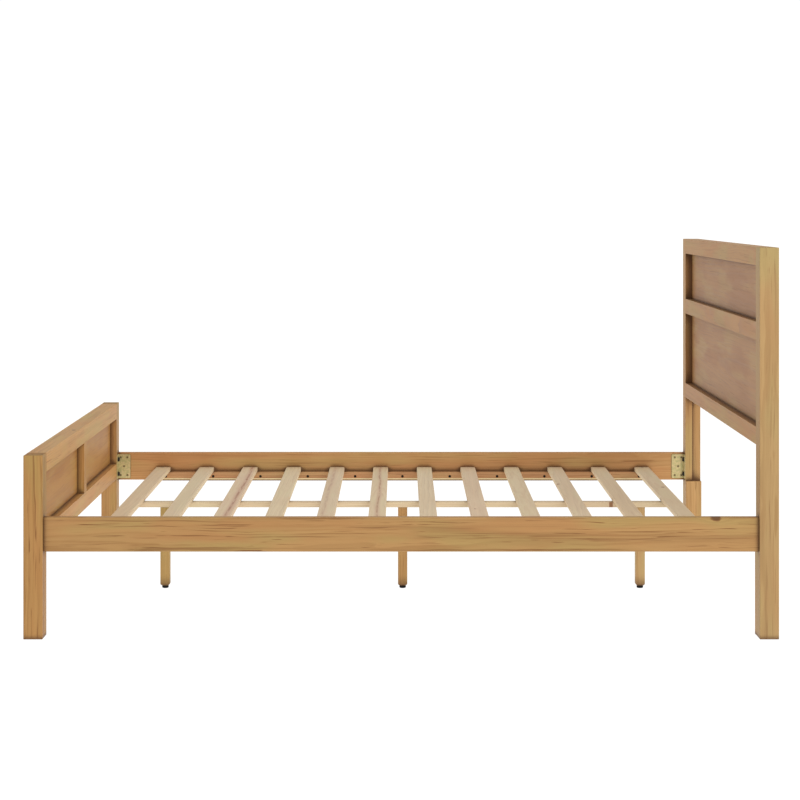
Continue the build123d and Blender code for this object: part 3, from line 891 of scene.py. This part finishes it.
@dataclass
class Footboard:
    """Two posts, two rails, a mullion and two panels."""

    timber: Timber = STAINED
    panel_timber: Timber = STAINED_PANEL
    knot_radius: float = 6.0 * MM
    panel_tint: Colour = (1.15, 1.09, 0.75)

    def dress(self) -> None:
        """Finish the boards of the footboard."""
        posts = [
            Board("footboard_post_left", Cut.RIFT, tint=(1.00, 1.00, 0.95)),
            Board("footboard_post_right", Cut.RIFT, tint=(0.90, 0.86, 0.73), streaks=1.5),
        ]
        rails = [
            Board(
                "footboard_top_rail",
                Cut.PLAIN,
                (Knot(-0.18, 0.4, self.knot_radius),),
                tint=(1.20, 1.22, 1.12),
                streaks=0.7,
            ),
            Board("footboard_bottom_rail", Cut.RIFT, tint=(1.18, 1.15, 1.02)),
            Board("footboard_mullion", Cut.QUARTER, tint=(1.08, 1.06, 0.92)),
        ]
        panels = [
            Board(f"footboard_panel_{side}", Cut.PLAIN, tint=self.panel_tint)
            for side in ("left", "right")
        ]
        dress_boards(self.timber, [*posts, *rails])
        dress_boards(self.panel_timber, panels)


@dataclass
class SideRails:
    """The two side rails, each with a ledger that carries the slats."""

    timber: Timber = STAINED
    knot_radius: float = 8.5 * MM
    # The painted highlight line along each ledger's foot, with a painted shadow line under it
    painted_highlight_line: Span = (4.6 * MM, 8.2 * MM)

    def dress(self) -> None:
        """Finish the rails and ledgers."""
        boards = [
            Board("side_rail_left", Cut.RIFT, tint=(1.12, 1.08, 1.08), streaks=0.8),
            Board(
                "side_rail_right",
                Cut.RIFT,
                (Knot(0.88, 0.98, self.knot_radius),),
                tint=(0.905, 0.905, 0.86),
                streaks=1.4,
            ),
            Board("ledger_left", Cut.RIFT, tint=(0.98, 0.91, 1.05), painted_highlight_line=self.painted_highlight_line),
            Board("ledger_right", Cut.RIFT, painted_highlight_line=self.painted_highlight_line),
        ]
        dress_boards(self.timber, boards)


@dataclass
class SlattedBase:
    """The slats, the beam under them and the beam's legs."""

    timber: Timber = PALE
    leg_timber: Timber = SHADED
    slat_count: int = 12
    leg_tints: tuple[Colour, ...] = ((1.03, 1.18, 1.10), (1.00, 1.06, 1.00), (1.11, 1.26, 1.44))
    knots: dict[int, tuple[Knot, ...]] = field(
        default_factory=lambda: {
            3: (Knot(0.55, 0.5, 4.0 * MM),),
            8: (Knot(-0.35, -0.4, 3.5 * MM),),
            10: (Knot(0.40, -0.85, 6.0 * MM),),
            12: (Knot(0.30, 0.35, 5.0 * MM), Knot(-0.62, -0.5, 3.5 * MM)),
        }
    )
    tints: tuple[Colour, ...] = (
        (1.08, 1.08, 1.10),
        (1.09, 1.08, 1.07),
        (1.07, 1.08, 1.09),
        (1.09, 1.06, 1.09),
        (1.08, 1.09, 1.08),
    )
    stripes: dict[int, HeartStripe] = field(
        default_factory=lambda: {
            3: HeartStripe(0.42, 10.0 * MM, 1.0),
            5: HeartStripe(-0.30, 12.0 * MM, 0.45),
            6: HeartStripe(0.05, 8.0 * MM, 0.85),
        }
    )

    def dress(self) -> None:
        """Finish the slats, the beam and the legs."""
        cuts = [Cut.PLAIN, Cut.RIFT, Cut.QUARTER]
        slats = [
            Board(
                f"slat_{number:02d}",
                cuts[number % len(cuts)],
                self.knots.get(number, ()),
                self.stripes.get(number),
                self.tints[number % len(self.tints)],
            )
            for number in range(1, self.slat_count + 1)
        ]
        beam = Board("centre_beam", Cut.RIFT, (Knot(0.757, -1.0, 3.4 * MM),))
        legs = [
            Board(f"centre_leg_{name}", Cut.RIFT, tint=tint) for name, tint in zip(LEGS, self.leg_tints)
        ]
        dress_boards(self.timber, [*slats, beam])
        # The legs carry the wider painted shade under the beam.
        dress_boards(self.leg_timber, legs)


@dataclass
class Hardware:
    """The brackets, bolts, washers, screws, inserts and dowels that hold the frame together."""

    brackets: tuple[str, ...] = tuple(
        f"corner_bracket_{end}_{side}" for end in ("foot", "head") for side in ("left", "right")
    )
    black: tuple[str, ...] = ("bed_bolts", "bed_bolt_washers", "ledger_screws")
    bright: tuple[str, ...] = ("beam_screws", "slat_screws", "leg_hanger_bolts")
    dull: tuple[str, ...] = ("bracket_screws",)
    turned: tuple[str, ...] = ("beam_inserts", "leveller_inserts", "post_inserts")
    dowels: tuple[str, ...] = ("headboard_dowels", "footboard_dowels")

    def dress(self) -> None:
        """Finish the hardware."""
        finishes = {
            YELLOW_ZINC: self.brackets,
            DULL_ZINC: self.dull,
            BLACK_STEEL: self.black,
            BRIGHT_ZINC: self.bright,
            BRASS: self.turned,
        }
        for finish, nodes in finishes.items():
            material = finish.dress()
            for node in nodes:
                put_on(node, material)
        dress_boards(BEECH, [Board(node, Cut.QUARTER) for node in self.dowels])


# ---- Modelling by hand
class Workpiece:
    """A new piece on the bench, shaped in edit mode."""

    def __init__(self, name: str, start: Vector) -> None:
        """Put down one corner point to draw from.

        Args:
            name: The piece's name.
            start: Where its outline starts.
        """
        bpy.ops.object.select_all(action="DESELECT")
        bpy.ops.mesh.primitive_plane_add(size=MM, location=start)
        self.shape = bpy.context.object
        self.shape.name = name
        self.shape.data.name = name
        self.at_origin()
        bpy.ops.object.mode_set(mode="EDIT")
        bpy.ops.mesh.select_mode(type="VERT")
        bpy.ops.mesh.select_all(action="SELECT")
        bpy.ops.mesh.merge(type="CENTER")

    def at_origin(self) -> None:
        """Move the object to the origin and leave its mesh where it is."""
        bpy.ops.object.transform_apply(location=True, rotation=True, scale=True)

    def draw(self, steps: Sequence[Vector]) -> None:
        """Draw the outline on from the last point, one step after another."""
        for step in steps:
            bpy.ops.mesh.extrude_region_move(TRANSFORM_OT_translate={"value": step})

    def close(self) -> None:
        """Join the outline's end to its start."""
        bpy.ops.mesh.select_all(action="SELECT")
        bpy.ops.mesh.remove_doubles(threshold=10.0 * MERGE_WITHIN)

    def select(self, wanted: Callable[[bmesh.types.BMFace], bool]) -> None:
        """Select the faces that a test picks, and nothing else."""
        bpy.ops.mesh.select_mode(type="FACE")
        bpy.ops.mesh.select_all(action="DESELECT")
        mesh = bmesh.from_edit_mesh(self.shape.data)
        for face in mesh.faces:
            face.select_set(wanted(face))
        bmesh.update_edit_mesh(self.shape.data)

    def turn_about(self, axis: Vector, steps: int, rise: float = 0.0, turns: int = 1) -> None:
        """Sweep the outline round an upright axis, as on a lathe, or up a helix.

        Args:
            axis: A point on the axis.
            steps: The steps in one turn.
            rise: How far one turn climbs.
            turns: How many turns there are.
        """
        bpy.ops.object.mode_set(mode="OBJECT")
        bpy.context.scene.cursor.location = axis
        bpy.ops.object.origin_set(type="ORIGIN_CURSOR")
        sweep = self.shape.modifiers.new("sweep", "SCREW")
        sweep.steps = steps
        sweep.render_steps = steps
        sweep.screw_offset = rise
        sweep.iterations = turns
        sweep.use_merge_vertices = rise == 0.0
        sweep.merge_threshold = MERGE_WITHIN
        sweep.use_smooth_shade = False
        bpy.ops.object.modifier_apply(modifier=sweep.name)
        self.at_origin()
        bpy.ops.object.mode_set(mode="EDIT")
        bpy.ops.mesh.select_all(action="SELECT")
        bpy.ops.mesh.remove_doubles(threshold=MERGE_WITHIN)
        bpy.ops.mesh.delete_loose()
        self.face_outwards()

    def cap_ends(self) -> None:
        """Close the open ends with faces."""
        bpy.ops.mesh.select_mode(type="EDGE")
        bpy.ops.mesh.select_all(action="DESELECT")
        bpy.ops.mesh.select_non_manifold()
        bpy.ops.mesh.fill()
        self.face_outwards()

    def face_outwards(self) -> None:
        """Turn all faces outwards."""
        bpy.ops.mesh.select_all(action="SELECT")
        bpy.ops.mesh.normals_make_consistent(inside=False)

    def done(self) -> bpy.types.Object:
        """Leave edit mode and shade the piece smooth except at its sharp edges."""
        bpy.ops.object.mode_set(mode="OBJECT")
        bpy.ops.object.shade_smooth_by_angle(angle=SMOOTH_BELOW)
        return self.shape


def steps_between(points: Sequence[tuple[float, float]]) -> list[Vector]:
    """The steps along an outline of (radius, height) points."""
    pairs = zip(points, points[1:])
    return [Vector((after[0] - before[0], 0.0, after[1] - before[1])) for before, after in pairs]


@dataclass
class LevellingFoot:
    """A moulded foot on a threaded stud, which screws out of a centre leg."""

    name: str
    pad_steps: int = 48
    rib_depth: float = 0.35 * MM
    thread_pitch: float = 1.25 * MM
    thread_depth: float = 0.75 * MM
    thread_steps: int = 20
    flange_height: float = 2.0 * MM
    easing: float = 0.3 * MM
    clearance: float = 0.25 * MM
    flange_reach: float = 2.0 * MM  # past the stud
    rib_gap: float = 0.25 * MM

    def __post_init__(self) -> None:
        """Take the sizes of the foot from the carried-over pieces that it stands for."""
        low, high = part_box(f"leveller_pad_{self.name}")
        self.axis = Vector(((low.x + high.x) / 2, (low.y + high.y) / 2, 0.0))
        self.pad_radius = (high.x - low.x) / 2
        self.pad_height = high.z
        low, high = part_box(f"leveller_stud_{self.name}")
        self.flange_radius = (high.x - low.x) / 2
        self.stud_bottom, self.stud_top = low.z, high.z
        self.stud_radius = self.flange_radius - self.flange_reach

    def outline(self, name: str, points: Sequence[tuple[float, float]]) -> Workpiece:
        """Start a piece whose outline runs through (radius, height) points."""
        first = points[0]
        piece = Workpiece(name, Vector((self.axis.x + first[0], self.axis.y, first[1])))
        piece.draw(steps_between(points))
        return piece

    def model_pad(self) -> bpy.types.Object:
        """Turn the foot, press a ring of ribs into its rim and ease its edges.

        Returns:
            The foot.
        """
        radius, height = self.pad_radius, self.pad_height
        rim_bottom, rim_top = 0.30 * height, 0.86 * height
        clearance = self.clearance
        socket_floor = self.stud_bottom - clearance
        socket_top = self.stud_bottom + self.flange_height + clearance
        socket_radius = self.flange_radius + clearance
        bore = self.stud_radius + clearance
        points = [
            (0.0, 0.0),
            (radius * 0.70, 0.0),
            (radius * 0.83, 0.04 * height),
            (radius * 0.93, 0.13 * height),
            (radius * 0.985, rim_bottom - self.easing),
            (radius, rim_bottom),
            (radius, rim_top),
            (radius - self.easing, rim_top + 0.6 * self.easing),
            (radius - 1.6 * self.easing, height - 0.4 * self.easing),
            (radius - 2.4 * self.easing, height),
            (bore, height),
            (bore, socket_top),
            (socket_radius, socket_top),
            (socket_radius, socket_floor),
            (0.0, socket_floor),
        ]
        piece = self.outline(f"ribbed_foot_{self.name}", points)
        piece.turn_about(self.axis, self.pad_steps)
        middle = (rim_bottom + rim_top) / 2
        piece.select(lambda face: self.is_rim(face, middle))
        bpy.ops.mesh.inset(thickness=self.rib_gap, depth=-self.rib_depth, use_individual=True)
        return piece.done()

    def is_rim(self, face: bmesh.types.BMFace, middle: float) -> bool:
        """Whether a face is on the upright rim, half way up it."""
        centre = face.calc_center_median()
        out = math.hypot(centre.x - self.axis.x, centre.y - self.axis.y)
        return out > self.pad_radius * 0.95 and abs(centre.z - middle) < self.easing

    def model_stud(self) -> bpy.types.Object:
        """Turn the stud with its flange and wind the thread on it.

        Returns:
            The stud.
        """
        core = self.stud_radius - self.thread_depth
        flange_top = self.stud_bottom + self.flange_height
        points = [
            (0.0, self.stud_bottom),
            (self.flange_radius - self.easing, self.stud_bottom),
            (self.flange_radius, self.stud_bottom + self.easing),
            (self.flange_radius, flange_top - self.easing),
            (self.flange_radius - self.easing, flange_top),
            (core, flange_top),
            (core, self.stud_top - self.easing),
            (core - self.easing, self.stud_top),
            (0.0, self.stud_top),
        ]
        body = self.outline(f"threaded_stud_{self.name}", points)
        body.turn_about(self.axis, self.thread_steps)
        body.done()
        crest = 0.06 * self.thread_pitch
        foot = 0.46 * self.thread_pitch
        start = flange_top + self.thread_pitch
        groove = [
            (core - crest, start - foot),
            (self.stud_radius, start - crest),
            (self.stud_radius, start + crest),
            (core - crest, start + foot),
            (core - crest, start - foot),
        ]
        thread = self.outline(f"thread_{self.name}", groove)
        thread.close()
        turns = int((self.stud_top - start) / self.thread_pitch) - 1
        thread.turn_about(self.axis, self.thread_steps, self.thread_pitch, turns)
        thread.cap_ends()
        thread.done()
        bpy.ops.object.select_all(action="DESELECT")
        thread.shape.select_set(True)
        body.shape.select_set(True)
        bpy.context.view_layer.objects.active = body.shape
        bpy.ops.object.join()
        return body.shape

    def build(self, plastic: Material, steel: Material) -> None:
        """Model the foot and its stud and put them on their bodies.

        Args:
            plastic: The foot's material.
            steel: The stud's material.
        """
        made = {
            "pad": (self.model_pad(), plastic, "black_plastic"),
            "stud": (self.model_stud(), steel, "zinc_steel"),
        }
        for part, (piece, material, slot) in made.items():
            body = f"leveller_{part}_{self.name}"
            piece.data.materials.append(material)
            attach(piece, body)
            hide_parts(body)
            log.info("%s stands for %s, with %d faces", piece.name, body, len(piece.data.polygons))


# ---- Floor, light and camera
@dataclass
class Studio:
    """A white floor, soft light from all round and a camera level with the headboard's top."""

    floor_size: float = 240.0
    floor_glow: float = 0.98
    floor_reflects: float = 0.14
    sky: float = 0.74
    backdrop: float = 1.05
    key_power: float = 160.0
    key_size: float = 4.0
    key_place: Vector = field(default_factory=lambda: Vector((3.4, -5.4, 3.4)))
    camera_distance: float = 5.927  # from the near faces of the posts
    camera_height: float = 1.233
    camera_across: float = -0.002
    lens: float = 93.7
    rise: float = -0.242  # the frame's shift, as a share of its width
    slide: float = -0.0006

    def lay_floor(self) -> None:
        """Lay the floor under the bed's feet."""
        bpy.ops.object.select_all(action="DESELECT")
        bpy.ops.mesh.primitive_plane_add(size=self.floor_size, location=(0.0, 0.0, CAD_BOX[0].z))
        floor = bpy.context.object
        floor.name = "floor"
        bpy.ops.object.transform_apply(location=True)
        white = {
            "Base Color": (self.floor_reflects,) * 3,
            "Roughness": 1.0,
            "Specular IOR Level": 0.0,
            "Emission Color": (1.0, 1.0, 1.0),
            "Emission Strength": self.floor_glow,
        }
        floor.data.materials.append(Shader("studio_floor").finish(white))

    def hang_sky(self) -> None:
        """Surround the bed with even white light, a little brighter where it is seen directly."""
        world = bpy.data.worlds.new("studio")
        bpy.context.scene.world = world
        world.use_nodes = True
        nodes = world.node_tree.nodes
        path = nodes.new("ShaderNodeLightPath")
        strength = nodes.new("ShaderNodeMapRange")
        strength.inputs["To Min"].default_value = self.sky
        strength.inputs["To Max"].default_value = self.backdrop
        world.node_tree.links.new(path.outputs["Is Camera Ray"], strength.inputs["Value"])
        background = nodes["Background"]
        background.inputs["Color"].default_value = (1.0, 1.0, 1.0, 1.0)
        world.node_tree.links.new(strength.outputs["Result"], background.inputs["Strength"])

    def hang_light(self) -> None:
        """Hang one large soft light above and beside the camera, towards the headboard end."""
        light = bpy.data.lights.new("key", "AREA")
        light.energy = self.key_power
        light.size = self.key_size
        lamp = bpy.data.objects.new("key", light)
        bpy.context.scene.collection.objects.link(lamp)
        lamp.location = self.key_place
        towards = Vector((0.0, 0.0, CAD_BOX[1].z / 2)) - self.key_place
        lamp.rotation_euler = towards.to_track_quat("-Z", "Y").to_euler()

    def set_camera(self) -> None:
        """Stand the camera square to the bed's side, with its frame slid down to take in the feet."""
        lens = bpy.data.cameras.new("camera")
        lens.lens = self.lens
        lens.shift_x = self.slide
        lens.shift_y = self.rise
        camera = bpy.data.objects.new("camera", lens)
        bpy.context.scene.collection.objects.link(camera)
        camera.location = (self.camera_across, CAD_BOX[0].y - self.camera_distance, self.camera_height)
        camera.rotation_euler = (math.radians(90.0), 0.0, 0.0)
        bpy.context.scene.camera = camera

    def build(self) -> None:
        """Set the studio up round the bed."""
        bpy.context.scene.view_settings.view_transform = "Standard"
        self.lay_floor()
        self.hang_sky()
        self.hang_light()
        self.set_camera()
        log.info("studio is set up")


def main() -> None:
    """Finish the bed, model its feet and set up the studio."""
    logging.basicConfig(level=logging.INFO, format="%(message)s")
    for part in (Headboard(), Footboard(), SideRails(), SlattedBase(), Hardware()):
        part.dress()
        log.info("%s is done", type(part).__name__)
    plastic, steel = BLACK_PLASTIC.dress(), BRIGHT_ZINC.dress()
    for name in LEGS:
        LevellingFoot(name).build(plastic, steel)
    Studio().build()
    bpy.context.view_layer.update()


if __name__ == "__main__":
    main()
